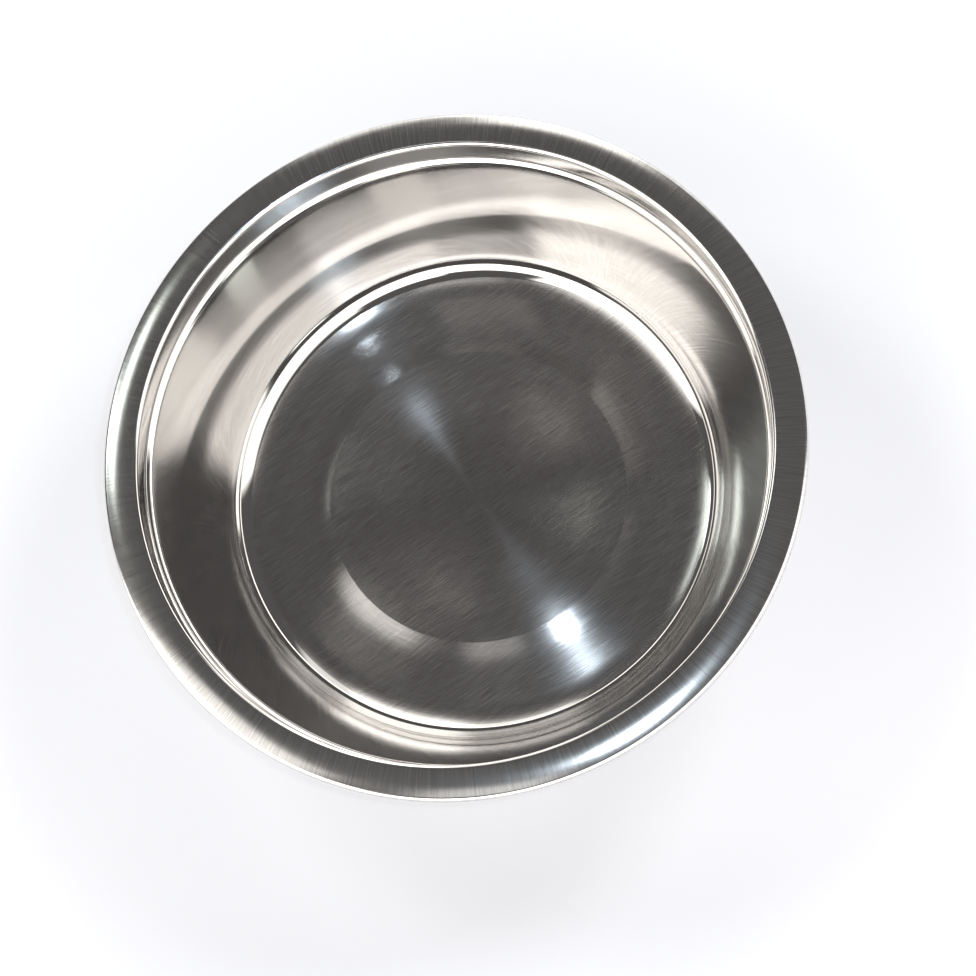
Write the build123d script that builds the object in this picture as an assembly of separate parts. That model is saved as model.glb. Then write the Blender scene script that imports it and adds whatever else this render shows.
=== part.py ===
from build123d import *
import os
from math import atan2, cos, hypot, pi, radians, sin, tan

# Stainless dog bowl: one drawn steel shell with a rolled rim, and a rubber foot ring bonded under it.
# Millimetres, +Z up, origin on the ground at the middle of the foot ring.

# Overall
rim_diameter = 220.0
overall_height = 63.5
sheet = 0.7

# Flange and rolled rim
flange_width = 11.0
lip_radius = 1.8
lip_land = 0.4
crown_start_slope = 6.0
crown_end_slope = 18.0
curl_radius = 1.7
curl_turn = 235.0

# Collar under the flange, and the shoulder below it that turns into the wall
collar_depth = 10.1
collar_lean = 5.5
crease_radius = 0.8
shoulder_run = 1.4
shoulder_drop = 1.2
shoulder_curve_share = 0.66

# Wall of the shell and its bottom corner, on the side that holds the food
wall_lean = 22.0
corner_radius = 12.0

# Floor of the shell: a dished disc with a low crest near its edge, a steep band that falls from it,
# and an outer floor that slopes down to the wall
floor_lift = 3.0
disc_share = 0.624
dish_share = 0.45
dish_slope = 5.0
dish_curve_share = 0.68
crest_width = 6.3
crest_slope = 5.0
crest_curve_share = 0.69
disc_edge_radius = 1.2
band_width = 6.2
band_slope = 17.0
band_curve_share = 0.45
outer_slope = 6.5

# Rubber foot ring, with grooves in its tread
bond_film = 0.15
ring_reach = 4.0
ring_band_gap = 4.3
ring_height = 11.0
ring_lip = 1.5
ring_edge_radius = 1.1
ring_heel_radius = 1.5
groove_count = 3
groove_pitch = 5.5
groove_width = 1.8
groove_depth = 0.9

os.makedirs("parts", exist_ok=True)

# Heights and radii that follow from these
collar_angle = radians(collar_lean)
wall_angle = radians(wall_lean)
crown_start = radians(crown_start_slope)
crown_end = radians(crown_end_slope)
lip_turn = pi / 2 + crown_start - collar_angle
lip_height = overall_height + lip_radius * (tan(lip_turn / 2) * cos(collar_angle) + sin(collar_angle) - 1)
collar_head_radius = rim_diameter / 2 - flange_width
land_run = lip_radius * tan(lip_turn / 2) + lip_land
crown_start_radius = collar_head_radius + land_run * cos(crown_start)
crown_start_height = lip_height - land_run * sin(crown_start)
crown_end_radius = rim_diameter / 2 - curl_radius * (1 - sin(crown_end))
crown_radius = (crown_end_radius - crown_start_radius) / (sin(crown_end) - sin(crown_start))
collar_foot_height = overall_height - collar_depth
collar_foot_radius = collar_head_radius - (lip_height - collar_foot_height) * tan(collar_angle)
wall_top_height = collar_foot_height - shoulder_drop
wall_top_radius = collar_foot_radius - shoulder_run
shoulder_turn = pi / 2 - wall_angle - atan2(shoulder_drop, shoulder_run)
shoulder_radius = shoulder_curve_share * hypot(shoulder_run, shoulder_drop) / tan(shoulder_turn / 2)
outer_angle = radians(outer_slope)
corner_turn = pi / 2 - wall_angle + outer_angle
corner_dip = corner_radius * (tan(corner_turn / 2) * sin(outer_angle) + cos(outer_angle) - 1)
wall_foot_height = floor_lift + sheet - corner_dip
wall_foot_radius = wall_top_radius - (wall_top_height - wall_foot_height) * tan(wall_angle)
disc_radius = disc_share * wall_foot_radius
crest_radius = disc_radius - crest_width
dish_radius = dish_share * disc_radius
band_radius = disc_radius + band_width
dish_angle = radians(dish_slope)
crest_angle = radians(crest_slope)
band_angle = radians(band_slope)
band_height = wall_foot_height + (wall_foot_radius - band_radius) * tan(outer_angle)
disc_height = band_height + band_width * tan(band_angle)
crest_height = disc_height + crest_width * tan(crest_angle)
dish_height = crest_height - (crest_radius - dish_radius) * tan(dish_angle)
ring_inner_radius = band_radius + ring_band_gap
ring_outer_radius = wall_foot_radius + ring_reach


def floor_and_wall():
    """Corners of the food side, from the middle of the floor to the top of the wall, and their radii."""
    dish_run = dish_curve_share * (crest_radius - dish_radius)
    crest_run = crest_curve_share * crest_width
    band_run = band_curve_share * band_width
    corners = [
        (0, dish_height),
        (dish_radius, dish_height),
        (crest_radius, crest_height),
        (disc_radius, disc_height),
        (band_radius, band_height),
        (wall_foot_radius, wall_foot_height),
        (wall_top_radius, wall_top_height),
    ]
    radii = [
        dish_run / tan(dish_angle / 2),
        crest_run / tan((dish_angle + crest_angle) / 2),
        disc_edge_radius,
        band_run / tan((band_angle - outer_angle) / 2),
        corner_radius,
    ]
    return corners, radii


def shell_line():
    """Food side of the whole shell, on over the flange and round the rolled rim."""
    corners, radii = floor_and_wall()
    corners += [
        (collar_foot_radius, collar_foot_height),
        (collar_head_radius, lip_height),
        (crown_start_radius, crown_start_height),
    ]
    radii += [shoulder_radius, crease_radius, lip_radius]
    inside = FilletPolyline(*corners, radius=radii)
    crown = JernArc(inside @ 1, inside % 1, crown_radius, crown_start_slope - crown_end_slope)
    curl = JernArc(crown @ 1, crown % 1, curl_radius, -curl_turn)
    return Wire(inside.edges() + crown.edges() + curl.edges())


def bowl_shell():
    """One sheet of even thickness, turned about the bowl's axis."""
    outline = offset(shell_line(), amount=sheet, side=Side.RIGHT)
    return revolve(Plane.XZ * make_face(outline.edges()), Axis.Z)


def seat_space():
    """Section of the space that the shell and its bond film fill inside the foot ring."""
    corners, radii = floor_and_wall()
    food_side = Wire(FilletPolyline(*corners, radius=radii).edges())
    under_side = offset(food_side, amount=sheet + bond_film, side=Side.RIGHT, closed=False)
    closing = Polyline(under_side @ 1, (0, (under_side @ 1).Y), under_side @ 0)
    return make_face(under_side.edges() + closing.edges())


def foot_ring():
    """Ring that cups the shell's bottom corner and lies on the ground on a grooved tread."""
    wall_rise = ring_height - wall_foot_height
    wall_outside = wall_foot_radius + wall_rise * tan(wall_angle) + (sheet + bond_film) / cos(wall_angle)
    heel = (ring_outer_radius, 0)
    edge = (wall_outside + ring_lip, ring_height)
    toe = (ring_inner_radius, 0)
    inner_top = (ring_inner_radius, ring_height)
    corner_radii = [0, ring_heel_radius, ring_edge_radius, 0]
    section = make_face(FilletPolyline(toe, heel, edge, inner_top, radius=corner_radii, close=True).edges())
    section -= seat_space()
    middle = (ring_inner_radius + ring_outer_radius) / 2
    for number in range(groove_count):
        groove_at = middle + (number - (groove_count - 1) / 2) * groove_pitch
        section -= Pos(groove_at, 0) * Rectangle(groove_width, 2 * groove_depth)
    return revolve(Plane.XZ * section, Axis.Z)


export_step(bowl_shell(), "parts/bowl_shell.step")
export_step(foot_ring(), "parts/foot_ring.step")
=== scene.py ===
import math

import bmesh
import bpy
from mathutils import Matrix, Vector


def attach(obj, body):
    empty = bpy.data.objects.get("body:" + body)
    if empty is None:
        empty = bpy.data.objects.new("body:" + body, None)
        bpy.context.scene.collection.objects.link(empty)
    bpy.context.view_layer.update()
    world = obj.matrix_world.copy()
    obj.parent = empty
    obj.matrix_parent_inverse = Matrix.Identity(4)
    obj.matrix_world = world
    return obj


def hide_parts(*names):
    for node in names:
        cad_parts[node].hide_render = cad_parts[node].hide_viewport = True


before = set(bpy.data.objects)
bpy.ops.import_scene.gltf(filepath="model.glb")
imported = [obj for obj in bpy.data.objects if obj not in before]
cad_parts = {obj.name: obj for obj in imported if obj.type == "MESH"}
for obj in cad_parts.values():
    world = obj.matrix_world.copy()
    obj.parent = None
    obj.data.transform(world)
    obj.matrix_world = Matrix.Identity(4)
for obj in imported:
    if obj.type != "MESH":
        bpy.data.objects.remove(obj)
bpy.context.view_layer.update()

# Sizes of the shell, in metres, on the side that holds the food
MM = 0.001
RIM_RADIUS = 110.0 * MM
TOP = 63.5 * MM
SHEET = 0.7 * MM
DISH_RADIUS = 21.517 * MM
DISH_SLOPE = math.radians(5.0)
DISH_CURVE_RADIUS = 311.5 * MM
CREST_RADIUS = 41.516 * MM
CREST_SLOPE = math.radians(5.0)
CREST_CURVE_RADIUS = 49.69 * MM
DISC_RADIUS = 47.816 * MM
DISC_EDGE_RADIUS = 1.2 * MM
BAND_SLOPE = math.radians(17.0)
BAND_RADIUS = 54.016 * MM
BAND_CURVE_RADIUS = 30.36 * MM
OUTER_FLOOR_SLOPE = math.radians(6.5)
WALL_FOOT_RADIUS = 76.629 * MM
WALL_FOOT_HEIGHT = 2.744 * MM
CORNER_RADIUS = 12.0 * MM
WALL_TOP_RADIUS = 96.61 * MM
WALL_TOP_DEPTH = 11.3 * MM
SHOULDER_RADIUS = 4.993 * MM
COLLAR_FOOT_RADIUS = 98.01 * MM
COLLAR_FOOT_DEPTH = 10.1 * MM
CREASE_RADIUS = 0.8 * MM
COLLAR_HEAD_RADIUS = 99.0 * MM
COLLAR_LEAN = math.radians(5.5)
LIP_RADIUS = 1.8 * MM
CROWN_RADIUS = 37.27 * MM
CROWN_START = math.radians(6.0)
CROWN_END = math.radians(18.0)
CURL_RADIUS = 1.7 * MM
CURL_TURN = math.radians(235.0)

# Finishes of the food side by number, where one ends and the next begins,
# and the direction of the rub marks on the floor
FLOOR = 0
WALL = 1
RIM = 2
FLOOR_EDGE = 73.6 * MM
POLISH_OVER_LIP = 0.7 * MM
WALL_EDGE = COLLAR_HEAD_RADIUS + POLISH_OVER_LIP
RUB_ANGLE = math.radians(33.0)

# Fineness of the mesh, and the reach of the point in its middle
TURN_STEPS = 240
RUN_STEP = 2.2 * MM
ARC_STEP = math.radians(3.5)
MERGE_DISTANCE = 0.01 * MM
POLE_RADIUS = 0.7 * MM

# Values between which most of a noise lies, the two ends of a mask, and a quarter of a turn
NOISE_SPREAD = (0.3, 0.7)
MASK = (0.0, 1.0)
QUARTER_TURN = 0.25


def run_to(bm, vert, point):
    """Draws a straight run from the vertex to the point, in short steps."""
    start = vert.co.copy()
    steps = max(1, math.ceil((point - start).length / RUN_STEP))
    for step in range(steps):
        vert = bmesh.ops.extrude_vert_indiv(bm, verts=[vert])["verts"][0]
        vert.co = start.lerp(point, (step + 1) / steps)
    return vert


def bend(bm, vert, heading, radius, turn):
    """Draws an arc from the vertex, to the right for a positive turn, and gives the new heading."""
    side = math.copysign(1.0, turn)
    centre = vert.co + side * radius * Vector((heading.z, 0, -heading.x))
    steps_by_angle = math.ceil(abs(turn) / ARC_STEP)
    steps_by_length = math.ceil(abs(turn) * radius / RUN_STEP)
    arc = bmesh.ops.spin(
        bm,
        geom=[vert],
        cent=centre,
        axis=(0, 1, 0),
        angle=turn,
        steps=max(2, steps_by_angle, steps_by_length),
    )
    new_heading = Vector((
        heading.x * math.cos(turn) + heading.z * math.sin(turn),
        0,
        heading.z * math.cos(turn) - heading.x * math.sin(turn),
    ))
    ends = [item for item in arc["geom_last"] if isinstance(item, bmesh.types.BMVert)]
    return ends[0], new_heading


def shell_corners():
    """Corners of the food side, from the middle of the floor to the flange, and their radii."""
    outer_floor_run = WALL_FOOT_RADIUS - BAND_RADIUS
    band_height = WALL_FOOT_HEIGHT + outer_floor_run * math.tan(OUTER_FLOOR_SLOPE)
    disc_height = band_height + (BAND_RADIUS - DISC_RADIUS) * math.tan(BAND_SLOPE)
    crest_height = disc_height + (DISC_RADIUS - CREST_RADIUS) * math.tan(CREST_SLOPE)
    dish_height = crest_height - (CREST_RADIUS - DISH_RADIUS) * math.tan(DISH_SLOPE)
    crown_run = CROWN_RADIUS * (math.sin(CROWN_END) - math.sin(CROWN_START))
    crown_start_radius = RIM_RADIUS - CURL_RADIUS * (1 - math.sin(CROWN_END)) - crown_run
    lip_turn = math.pi / 2 + CROWN_START - COLLAR_LEAN
    lip_rise = math.tan(lip_turn / 2) * math.cos(COLLAR_LEAN) + math.sin(COLLAR_LEAN) - 1
    lip_height = TOP + LIP_RADIUS * lip_rise
    land_run = crown_start_radius - COLLAR_HEAD_RADIUS
    crown_start_height = lip_height - land_run * math.tan(CROWN_START)
    corners = [
        (0, dish_height),
        (DISH_RADIUS, dish_height),
        (CREST_RADIUS, crest_height),
        (DISC_RADIUS, disc_height),
        (BAND_RADIUS, band_height),
        (WALL_FOOT_RADIUS, WALL_FOOT_HEIGHT),
        (WALL_TOP_RADIUS, TOP - WALL_TOP_DEPTH),
        (COLLAR_FOOT_RADIUS, TOP - COLLAR_FOOT_DEPTH),
        (COLLAR_HEAD_RADIUS, lip_height),
        (crown_start_radius, crown_start_height),
    ]
    radii = [
        DISH_CURVE_RADIUS,
        CREST_CURVE_RADIUS,
        DISC_EDGE_RADIUS,
        BAND_CURVE_RADIUS,
        CORNER_RADIUS,
        SHOULDER_RADIUS,
        CREASE_RADIUS,
        LIP_RADIUS,
    ]
    return [Vector((x, 0, z)) for x, z in corners], radii


def draw_shell_line(bm):
    """Draws the food side as one line of runs and arcs, ending in the rolled rim."""
    corners, radii = shell_corners()
    vert = bm.verts.new(corners[0])
    for before, corner, after, radius in zip(corners, corners[1:], corners[2:], radii):
        heading = (corner - before).normalized()
        ahead = (after - corner).normalized()
        turn = math.atan2(heading.z * ahead.x - heading.x * ahead.z, heading.dot(ahead))
        vert = run_to(bm, vert, corner - heading * radius * math.tan(abs(turn) / 2))
        vert, heading = bend(bm, vert, heading, radius, turn)
    vert = run_to(bm, vert, corners[-1])
    vert, heading = bend(bm, vert, heading, CROWN_RADIUS, CROWN_END - CROWN_START)
    bend(bm, vert, heading, CURL_RADIUS, CURL_TURN)


def finish_of(middle):
    """Number of the finish at a place on the food side."""
    if middle.xy.length < FLOOR_EDGE:
        return FLOOR
    if middle.xy.length < WALL_EDGE:
        return WALL
    return RIM


def lay_grain(bm):
    """Gives each face its finish, and maps it by distance from the axis and turn about it."""
    grain = bm.loops.layers.uv.new("grain")
    for face in bm.faces:
        middle = face.calc_center_median()
        face.material_index = finish_of(middle)
        face.smooth = True
        for loop in face.loops:
            place = loop.vert.co.xy
            turn = 0.0
            if place.length > POLE_RADIUS:
                turn = math.atan2(middle.y, middle.x) - middle.xy.angle_signed(place)
            loop[grain].uv = (place.length, turn)


def make_shell(food_side, outside):
    """Spins the line into the shell and gives it the thickness of the sheet."""
    bm = bmesh.new()
    draw_shell_line(bm)
    bmesh.ops.spin(
        bm,
        geom=bm.verts[:] + bm.edges[:],
        cent=(0, 0, 0),
        axis=(0, 0, 1),
        angle=math.tau,
        steps=TURN_STEPS,
        use_merge=True,
    )
    bmesh.ops.remove_doubles(bm, verts=bm.verts, dist=MERGE_DISTANCE)
    bmesh.ops.recalc_face_normals(bm, faces=bm.faces)
    floor_face = min(bm.faces, key=lambda face: face.calc_center_median().xy.length)
    if floor_face.normal.z < 0:
        bmesh.ops.reverse_faces(bm, faces=bm.faces)
    lay_grain(bm)
    mesh = bpy.data.meshes.new("bowl_shell_skin")
    bm.to_mesh(mesh)
    bm.free()
    shell = bpy.data.objects.new("bowl_shell_skin", mesh)
    bpy.context.scene.collection.objects.link(shell)
    for material in food_side + outside:
        mesh.materials.append(material)
    thicken = shell.modifiers.new("sheet", "SOLIDIFY")
    thicken.thickness = SHEET
    thicken.offset = -1
    thicken.use_even_offset = True
    thicken.material_offset = len(food_side)
    thicken.material_offset_rim = len(food_side)
    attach(shell, "root")
    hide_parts("bowl_shell")


class Nodes:
    """A tree of shader nodes and short ways to add to it."""

    def __init__(self, tree):
        self.tree = tree

    def node(self, kind, **settings):
        """Adds a node of this kind, with these settings."""
        node = self.tree.nodes.new(kind)
        for name, value in settings.items():
            setattr(node, name, value)
        return node

    def link(self, value, socket):
        """Links an output to the socket, or gives the socket a plain value."""
        if isinstance(value, bpy.types.NodeSocket):
            self.tree.links.new(value, socket)
        else:
            socket.default_value = value

    def maths(self, operation, first, second=0.0):
        """Result of an operation on one or two numbers."""
        node = self.node("ShaderNodeMath", operation=operation)
        self.link(first, node.inputs[0])
        self.link(second, node.inputs[1])
        return node.outputs[0]

    def split(self, vector):
        """The three parts of a vector, by name."""
        node = self.node("ShaderNodeSeparateXYZ")
        self.link(vector, node.inputs[0])
        return node.outputs

    def join(self, x, y, z=0.0):
        """Vector of three parts."""
        node = self.node("ShaderNodeCombineXYZ")
        for value, socket in zip((x, y, z), node.inputs):
            self.link(value, socket)
        return node.outputs[0]

    def blend(self, mask, first, second):
        """Colour that goes from the first to the second with the mask."""
        node = self.node("ShaderNodeMix", data_type="RGBA")
        self.link(mask, node.inputs["Factor"])
        self.link(first, node.inputs["A"])
        self.link(second, node.inputs["B"])
        return node.outputs["Result"]


class Finish(Nodes):
    """A material under way, with its shader and the patterns that finishes are made of."""

    def __init__(self, name, colour, metallic, roughness):
        self.material = bpy.data.materials.new(name)
        self.material.use_nodes = True
        super().__init__(self.material.node_tree)
        self.shader = self.tree.nodes["Principled BSDF"]
        self.give("Base Color", (*colour, 1))
        self.give("Metallic", metallic)
        self.give("Roughness", roughness)
        self.place = self.node("ShaderNodeTexCoord").outputs["Object"]

    def give(self, name, value):
        """Sets or links an input of the shader."""
        self.link(value, self.shader.inputs[name])

    def straight_grain(self, along, across):
        """Place on the floor, turned along the rub marks and scaled to their length and width."""
        turn = self.node("ShaderNodeMapping", vector_type="TEXTURE")
        turn.inputs["Rotation"].default_value = (0, 0, RUB_ANGLE)
        turn.inputs["Scale"].default_value = (along, across, 1)
        self.link(self.place, turn.inputs["Vector"])
        return turn.outputs[0]

    def flat_place(self):
        """Place over the ground, without its height."""
        place = self.split(self.place)
        return self.join(place["X"], place["Y"])

    def reach(self):
        """Distance from the bowl's axis."""
        length = self.node("ShaderNodeVectorMath", operation="LENGTH")
        self.link(self.flat_place(), length.inputs[0])
        return length.outputs["Value"]

    def round_grain(self, around, outward):
        """Place by turn about the axis and by distance along the profile, without a seam."""
        unit = self.node("ShaderNodeVectorMath", operation="NORMALIZE")
        self.link(self.flat_place(), unit.inputs[0])
        circle = self.split(unit.outputs[0])
        run = self.maths("ADD", self.reach(), self.split(self.place)["Z"])
        return self.join(
            self.maths("MULTIPLY", circle["X"], around),
            self.maths("MULTIPLY", circle["Y"], around),
            self.maths("DIVIDE", run, outward),
        )

    def noise(self, place, scale=1.0, detail=2.0):
        """Soft noise over a place."""
        node = self.node("ShaderNodeTexNoise")
        self.link(place, node.inputs["Vector"])
        node.inputs["Scale"].default_value = scale
        node.inputs["Detail"].default_value = detail
        return node.outputs["Fac"]

    def rescale(self, value, old, new):
        """Moves a value from the old low and high to the new ones, and stops there."""
        node = self.node("ShaderNodeMapRange")
        self.link(value, node.inputs["Value"])
        node.inputs["From Min"].default_value = old[0]
        node.inputs["From Max"].default_value = old[1]
        node.inputs["To Min"].default_value = new[0]
        node.inputs["To Max"].default_value = new[1]
        return node.outputs[0]

    def tint(self, mask, low, high):
        """Colours the finish from the low colour to the high one."""
        self.give("Base Color", self.blend(mask, (*low, 1), (*high, 1)))

    def bump(self, height, depth):
        """Presses a pattern of heights into the look of the surface, to the depth."""
        node = self.node("ShaderNodeBump")
        node.inputs["Distance"].default_value = depth
        self.link(height, node.inputs["Height"])
        self.give("Normal", node.outputs[0])

    def stretch_gloss(self, amount, turn=0.0):
        """Spreads the gloss outward from the axis, or turned from there by a part of a circle."""
        self.give("Anisotropic", amount)
        self.give("Anisotropic Rotation", turn)
        outward = self.node("ShaderNodeTangent", direction_type="UV_MAP", uv_map="grain")
        self.give("Tangent", outward.outputs[0])


def turned_floor():
    """Turning marks crossed by straight rub marks and a few scratches, with a smoother middle."""
    finish = Finish("turned_floor_steel", (0.58, 0.57, 0.555), metallic=1.0, roughness=0.24)
    rings = finish.noise(finish.round_grain(around=5.0, outward=0.35 * MM))
    rub = finish.noise(finish.straight_grain(along=9 * MM, across=0.28 * MM))
    lines = finish.noise(finish.straight_grain(along=10 * MM, across=0.4 * MM), detail=0.0)
    scratch = finish.rescale(lines, (0.7, 0.76), MASK)
    finish.bump(finish.maths("ADD", rub, scratch), depth=0.0025 * MM)
    rubbed = finish.rescale(rub, NOISE_SPREAD, (0.185, 0.225))
    smoother_middle = finish.rescale(finish.reach(), (8 * MM, 30 * MM), (0.5, 1.0))
    finish.give("Roughness", finish.maths("MULTIPLY", rubbed, smoother_middle))
    ring_tone = finish.maths("MULTIPLY", rings, 0.35)
    rub_tone = finish.maths("MULTIPLY", rub, 0.65)
    scratch_tone = finish.maths("MULTIPLY", scratch, 0.6)
    tone = finish.maths("ADD", finish.maths("ADD", ring_tone, rub_tone), scratch_tone)
    mask = finish.rescale(tone, (0.35, 0.65), MASK)
    finish.tint(mask, (0.545, 0.532, 0.518), (0.74, 0.725, 0.708))
    finish.stretch_gloss(amount=0.92)
    return finish.material


def polished_wall():
    """Mirror polish with the faint marks of the polishing wheel round it."""
    finish = Finish("polished_wall_steel", (0.76, 0.75, 0.735), metallic=1.0, roughness=0.05)
    marks = finish.noise(finish.round_grain(around=1.5, outward=0.6 * MM))
    cloud = finish.noise(finish.place, scale=60.0)
    finish.bump(marks, depth=0.0003 * MM)
    finish.give("Roughness", finish.rescale(cloud, NOISE_SPREAD, (0.045, 0.075)))
    return finish.material


def satin_rim():
    """Fine marks that run outward over the flange, and gloss that spreads across them."""
    finish = Finish("satin_rim_steel", (0.62, 0.61, 0.59), metallic=1.0, roughness=0.22)
    fine = finish.noise(finish.round_grain(around=260.0, outward=14 * MM))
    broad = finish.noise(finish.round_grain(around=140.0, outward=40 * MM))
    height = finish.maths("ADD", fine, finish.maths("MULTIPLY", broad, 0.5))
    finish.bump(height, depth=0.0045 * MM)
    finish.give("Roughness", finish.rescale(broad, NOISE_SPREAD, (0.14, 0.165)))
    mask = finish.rescale(fine, NOISE_SPREAD, MASK)
    finish.tint(mask, (0.67, 0.66, 0.645), (0.84, 0.83, 0.81))
    finish.stretch_gloss(amount=0.35, turn=QUARTER_TURN)
    return finish.material


def outside_wall():
    """Plain satin with turning marks round the outside."""
    finish = Finish("turned_outside_steel", (0.6, 0.59, 0.575), metallic=1.0, roughness=0.24)
    marks = finish.noise(finish.round_grain(around=6.0, outward=0.9 * MM))
    cloud = finish.noise(finish.place, scale=45.0)
    finish.bump(marks, depth=0.003 * MM)
    finish.give("Roughness", finish.rescale(cloud, NOISE_SPREAD, (0.2, 0.3)))
    return finish.material


def foot_rubber():
    """Matt moulded rubber with a fine pebbled skin."""
    finish = Finish("foot_ring_rubber", (0.045, 0.045, 0.047), metallic=0.0, roughness=0.75)
    pebble = finish.noise(finish.place, scale=2200.0)
    dust = finish.noise(finish.place, scale=90.0)
    finish.bump(pebble, depth=0.03 * MM)
    finish.give("Roughness", finish.rescale(dust, NOISE_SPREAD, (0.68, 0.85)))
    mask = finish.rescale(dust, (0.35, 0.75), MASK)
    finish.tint(mask, (0.04, 0.04, 0.042), (0.062, 0.061, 0.06))
    return finish.material


rim_finish = satin_rim()
outside_finish = outside_wall()
make_shell(
    food_side=[turned_floor(), polished_wall(), rim_finish],
    outside=[outside_finish, outside_finish, rim_finish],
)

foot_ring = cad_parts["foot_ring"]
foot_ring.data.materials.clear()
foot_ring.data.materials.append(foot_rubber())


GROUND_HALF_WIDTH = 3.0


def pale_ground():
    """White ground that keeps a soft shadow, with a glow that only the camera and the steel see."""
    finish = Finish("table_white", (0.56, 0.565, 0.59), metallic=0.0, roughness=0.95)
    path = finish.node("ShaderNodeLightPath").outputs
    seen = finish.maths("MAXIMUM", path["Is Camera Ray"], path["Is Glossy Ray"])
    glow = finish.node("ShaderNodeEmission")
    glow.inputs["Color"].default_value = (0.955, 0.965, 1.0, 1)
    finish.link(finish.maths("MULTIPLY", seen, 0.26), glow.inputs["Strength"])
    both = finish.node("ShaderNodeAddShader")
    finish.link(finish.shader.outputs[0], both.inputs[0])
    finish.link(glow.outputs[0], both.inputs[1])
    finish.link(both.outputs[0], finish.tree.nodes["Material Output"].inputs["Surface"])
    return finish.material


def make_ground():
    """Flat ground under the bowl."""
    mesh = bpy.data.meshes.new("ground")
    bm = bmesh.new()
    bmesh.ops.create_grid(bm, x_segments=1, y_segments=1, size=GROUND_HALF_WIDTH)
    bm.to_mesh(mesh)
    bm.free()
    ground = bpy.data.objects.new("ground", mesh)
    bpy.context.scene.collection.objects.link(ground)
    mesh.materials.append(pale_ground())


make_ground()


class Studio(Nodes):
    """Sky of a plain studio: a dim room with soft panels, each given by its place in the sky."""

    def __init__(self, room):
        world = bpy.data.worlds.new("studio")
        bpy.context.scene.world = world
        world.use_nodes = True
        super().__init__(world.node_tree)
        sky = self.split(self.node("ShaderNodeTexCoord").outputs["Generated"])
        self.compass = self.degrees(self.maths("ARCTAN2", sky["Y"], sky["X"]))
        self.from_top = self.degrees(self.maths("ARCCOSINE", sky["Z"]))
        self.light = (*room, 1)

    def degrees(self, angle):
        """An angle in radians as degrees."""
        return self.maths("MULTIPLY", angle, 180 / math.pi)

    def between(self, angle, low, high, soft):
        """One inside the two angles, fading to nothing over the soft edge."""
        masks = []
        for edge, sign in ((low, 1), (high, -1)):
            fade = self.node("ShaderNodeMapRange", interpolation_type="SMOOTHSTEP")
            self.link(angle, fade.inputs["Value"])
            fade.inputs["From Min"].default_value = edge - sign * soft / 2
            fade.inputs["From Max"].default_value = edge + sign * soft / 2
            masks.append(fade.outputs[0])
        return self.maths("MULTIPLY", masks[0], masks[1])

    def panel(self, compass, from_top, colour, strength, soft):
        """Lays a panel over the sky, between two compass angles and two angles from the top."""
        across = self.between(self.compass, *compass, soft[0])
        down = self.between(self.from_top, *from_top, soft[1])
        mask = self.maths("MULTIPLY", across, down)
        self.light = self.blend(mask, self.light, (*[strength * part for part in colour], 1))

    def show(self, backdrop):
        """Shows the sky to the steel, and the plain backdrop to the camera."""
        to_camera = self.node("ShaderNodeLightPath").outputs["Is Camera Ray"]
        seen = self.blend(to_camera, self.light, (*backdrop, 1))
        self.link(seen, self.tree.nodes["Background"].inputs["Color"])


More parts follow.
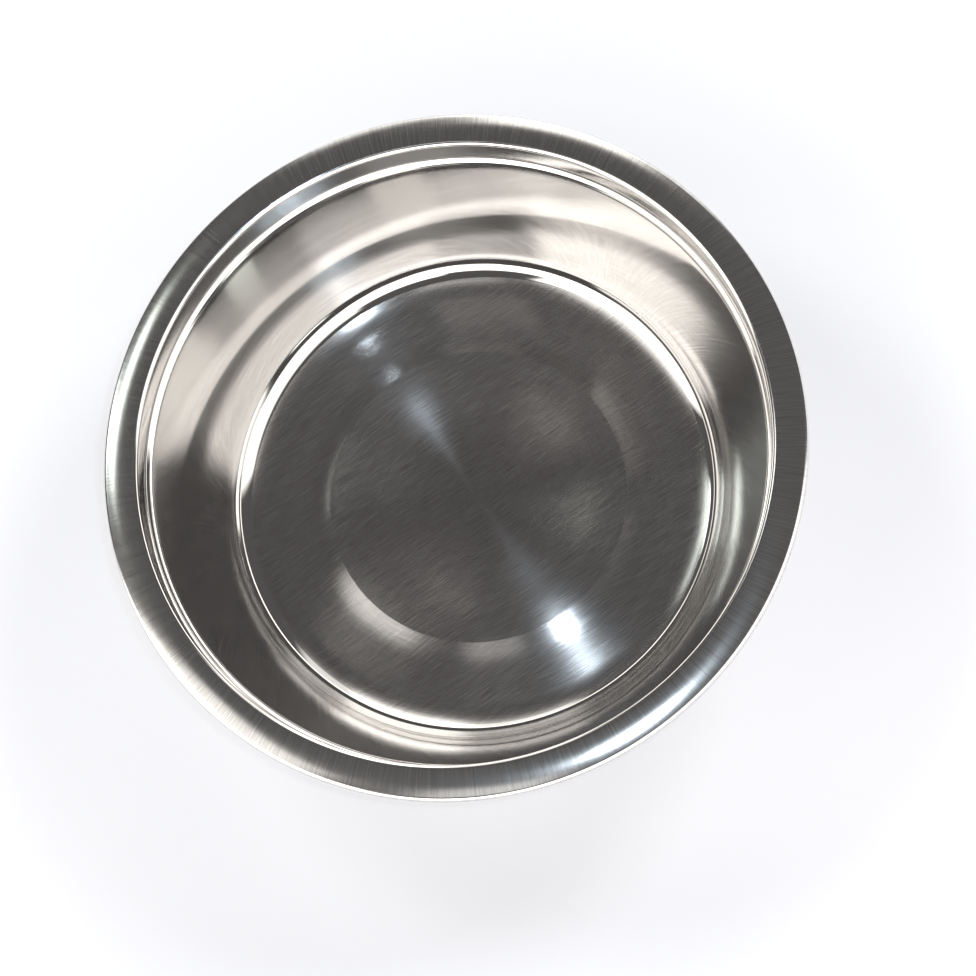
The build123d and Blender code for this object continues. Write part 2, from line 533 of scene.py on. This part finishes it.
# Panels of the studio, each laid over those before it: its compass angles and its angles
# from the top of the sky, in degrees, its colour, its strength and its two soft edges
DAYLIGHT = (1.0, 0.98, 0.97)
SOFT_WARM = (1.0, 0.965, 0.935)
WARM = (1.0, 0.97, 0.93)
WARMEST = (1.0, 0.96, 0.92)
GREENISH = (0.93, 1.0, 0.95)
PANELS = [
    ((-119, -83), (18, 28), DAYLIGHT, 0.85, (8, 4)),
    ((-57, 12), (40, 100), WARMEST, 1.8, (6, 6)),
    ((-88, -54), (49, 100), SOFT_WARM, 3.2, (6, 5)),
    ((-126, -85), (54, 100), SOFT_WARM, 3.7, (5, 4)),
    ((-177, -141), (26.5, 100), WARM, 1.25, (5, 4)),
    ((-146, -122), (38, 100), WARM, 2.6, (6, 5)),
    ((-178, -142), (38, 100), WARM, 2.4, (8, 6)),
    ((60, 80), (54, 100), WARM, 1.0, (6, 6)),
    ((93, 116), (56, 100), WARM, 1.2, (6, 6)),
    ((77, 97), (47, 100), WARM, 1.9, (5, 4)),
    ((75, 97), (57, 100), WARM, 3.4, (5, 4)),
    ((139, 161), (42, 48), GREENISH, 3.0, (4, 2)),
    ((150, 163), (50, 60), GREENISH, 2.9, (4, 3)),
]
studio = Studio(room=(0.104, 0.1, 0.099))
for panel in PANELS:
    studio.panel(*panel)
studio.show(backdrop=(0.9, 0.9, 0.93))


def add_lamp(name, place, size, energy, colour, seen_in_steel):
    """Adds a round lamp that points at the bowl."""
    lamp = bpy.data.lights.new(name, "AREA")
    lamp.shape = "DISK"
    lamp.size = size
    lamp.energy = energy
    lamp.color = colour
    holder = bpy.data.objects.new(name, lamp)
    bpy.context.scene.collection.objects.link(holder)
    holder.location = place
    holder.rotation_euler = Vector(place).to_track_quat("Z", "Y").to_euler()
    holder.visible_glossy = seen_in_steel


COOL_WHITE = (0.74, 0.87, 1.0)
WHITE = (1.0, 1.0, 1.0)
add_lamp(
    "flash",
    place=(0.2787, -0.3756, 1.53),
    size=0.04,
    energy=2.8,
    colour=COOL_WHITE,
    seen_in_steel=True,
)
add_lamp(
    "soft_right",
    place=(0.75, 0.7, 0.95),
    size=0.5,
    energy=8.0,
    colour=WHITE,
    seen_in_steel=False,
)
add_lamp(
    "soft_left",
    place=(-0.75, 0.55, 0.95),
    size=0.5,
    energy=5.5,
    colour=WHITE,
    seen_in_steel=False,
)

# Camera at the photograph's viewing angle
IMAGE_PIXELS = 976
FOCAL_PIXELS = 5000
CAMERA_PLACE = (0.22172, -0.41261, 1.52964)
CAMERA_TURN = (math.radians(15.107), math.radians(8.164), 0)
lens = bpy.data.cameras.new("photo_view")
lens.sensor_width = 36.0
lens.sensor_fit = "HORIZONTAL"
lens.lens = lens.sensor_width * FOCAL_PIXELS / IMAGE_PIXELS
lens.clip_end = 10.0
camera = bpy.data.objects.new("photo_view", lens)
bpy.context.scene.collection.objects.link(camera)
camera.location = CAMERA_PLACE
camera.rotation_euler = CAMERA_TURN
bpy.context.scene.camera = camera
bpy.context.scene.view_settings.view_transform = "Standard"
